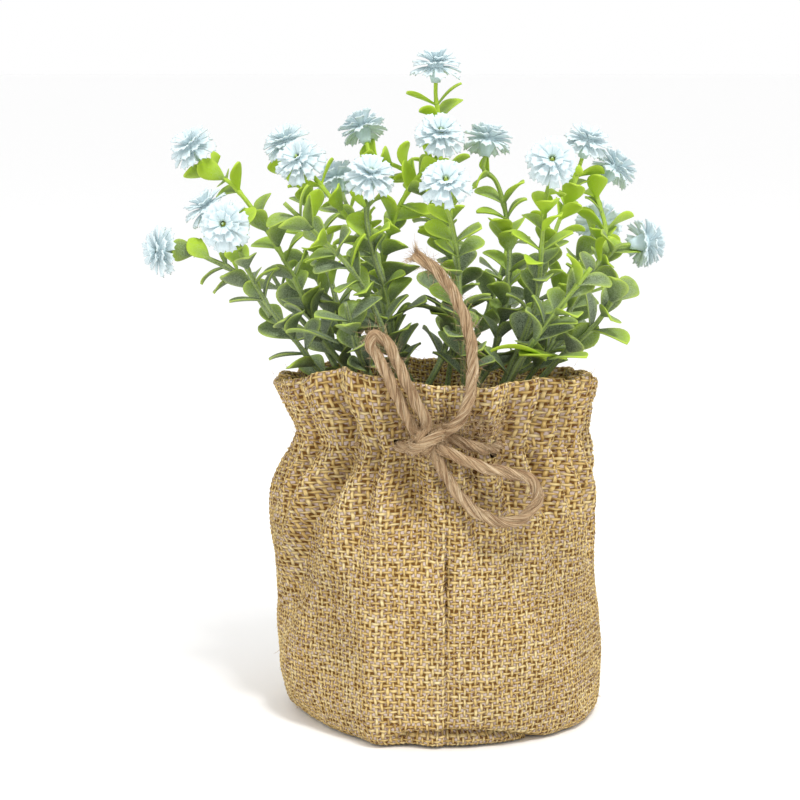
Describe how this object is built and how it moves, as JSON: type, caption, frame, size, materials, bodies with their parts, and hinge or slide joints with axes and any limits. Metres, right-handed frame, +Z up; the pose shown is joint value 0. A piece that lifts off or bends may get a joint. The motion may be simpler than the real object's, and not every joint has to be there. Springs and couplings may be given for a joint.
{
  "type": "artificial flower posy in a drawstring bag",
  "caption": "Artificial posy of small pale blue flowers on leafy wired stems, standing in a round burlap drawstring bag tied in front with jute twine.",
  "frame": {"origin": "centre of the bag's base, on the surface it stands on", "axes": "+Z up; -Y is the front, where the drawstring is tied; +X is to the right of someone facing the front"},
  "size_m": [0.1531, 0.1128, 0.1989],
  "materials": {
    "burlap": "plain-woven jute burlap, golden tan, slubby",
    "twine": "three-ply jute twine, beige brown, hairy",
    "pot": "thin white moulded plastic",
    "foam": "white expanded polystyrene foam",
    "foliage": "moulded polyethylene, lime to grey green, faintly flocked",
    "petals": "moulded polyethylene, pale icy blue"
  },
  "bodies": {
    "bag": {"bag_side_panel": "burlap", "bag_bottom_panel": "burlap", "inner_pot": "pot", "foam_block": "foam", "stem_crown": "foliage", "drawstring_run": "twine", "twine_knot": "twine", "twine_loop_upper": "twine", "twine_loop_lower": "twine", "twine_tail": "twine"},
    "branch_left_front": {"sprig_left_front": "foliage", "flower_left_front": "petals", "sprig_left_front_side": "foliage", "flower_left_front_side": "petals", "sprig_left_front_twig": "foliage", "flower_left_front_twig": "petals"},
    "branch_left": {"sprig_left": "foliage", "flower_left": "petals", "sprig_left_side": "foliage", "flower_left_side": "petals", "sprig_shoot_left": "foliage"},
    "branch_front_left": {"sprig_front_left": "foliage", "flower_front_left": "petals", "sprig_front_left_side": "foliage", "sprig_front_left_twig": "foliage", "flower_front_left_twig": "petals", "sprig_shoot_front_left": "foliage"},
    "branch_centre": {"sprig_centre": "foliage", "flower_centre": "petals", "sprig_centre_left": "foliage", "flower_centre_left": "petals", "sprig_centre_right": "foliage", "flower_centre_right": "petals"},
    "branch_front": {"sprig_front": "foliage", "flower_front": "petals"},
    "branch_right_front": {"sprig_right_front": "foliage", "flower_right_front": "petals", "sprig_shoot_front_right": "foliage"},
    "branch_right": {"sprig_right": "foliage", "flower_right": "petals", "sprig_shoot_right": "foliage"},
    "branch_right_back": {"sprig_right_back": "foliage", "flower_right_back": "petals", "sprig_right_back_side": "foliage", "flower_right_back_side": "petals", "sprig_right_back_twig": "foliage", "flower_right_back_twig": "petals"},
    "branch_back": {"sprig_back": "foliage", "flower_back": "petals", "sprig_back_side": "foliage", "flower_back_side": "petals", "sprig_shoot_back_left": "foliage", "sprig_shoot_back_right": "foliage"}
  },
  "joints": [
    {"name": "bend_left_front", "type": "hinge", "parent": "bag", "child": "branch_left_front", "pos_m": [-0.00642, -0.00327, 0.058], "axis": [0.4217, -0.9067, 0], "range_deg": [0, 4]},
    {"name": "bend_left", "type": "hinge", "parent": "bag", "child": "branch_left", "pos_m": [-0.00695, 0.00186, 0.058], "axis": [-0.1135, -0.9935, 0], "range_deg": [0, 4]},
    {"name": "bend_front_left", "type": "hinge", "parent": "bag", "child": "branch_front_left", "pos_m": [-0.00304, -0.00653, 0.058], "axis": [0.7498, -0.6616, 0], "range_deg": [0, 4]},
    {"name": "bend_centre", "type": "hinge", "parent": "bag", "child": "branch_centre", "pos_m": [0, 0, 0.058], "axis": [-1, 0, 0], "range_deg": [0, 4]},
    {"name": "bend_front", "type": "hinge", "parent": "bag", "child": "branch_front", "pos_m": [0.00162, -0.00702, 0.058], "axis": [0.9701, 0.2425, 0], "range_deg": [0, 4]},
    {"name": "bend_right_front", "type": "hinge", "parent": "bag", "child": "branch_right_front", "pos_m": [0.00575, -0.00433, 0.058], "axis": [0.578, 0.816, 0], "range_deg": [0, 4]},
    {"name": "bend_right", "type": "hinge", "parent": "bag", "child": "branch_right", "pos_m": [0.00719, 0.00038, 0.058], "axis": [0.2559, 0.9667, 0], "range_deg": [0, 4]},
    {"name": "bend_right_back", "type": "hinge", "parent": "bag", "child": "branch_right_back", "pos_m": [0.00527, 0.00491, 0.058], "axis": [-0.1521, 0.9884, 0], "range_deg": [0, 4]},
    {"name": "bend_back", "type": "hinge", "parent": "bag", "child": "branch_back", "pos_m": [-0.00186, 0.00695, 0.058], "axis": [-0.8321, -0.5547, 0], "range_deg": [0, 4]}
  ]
}
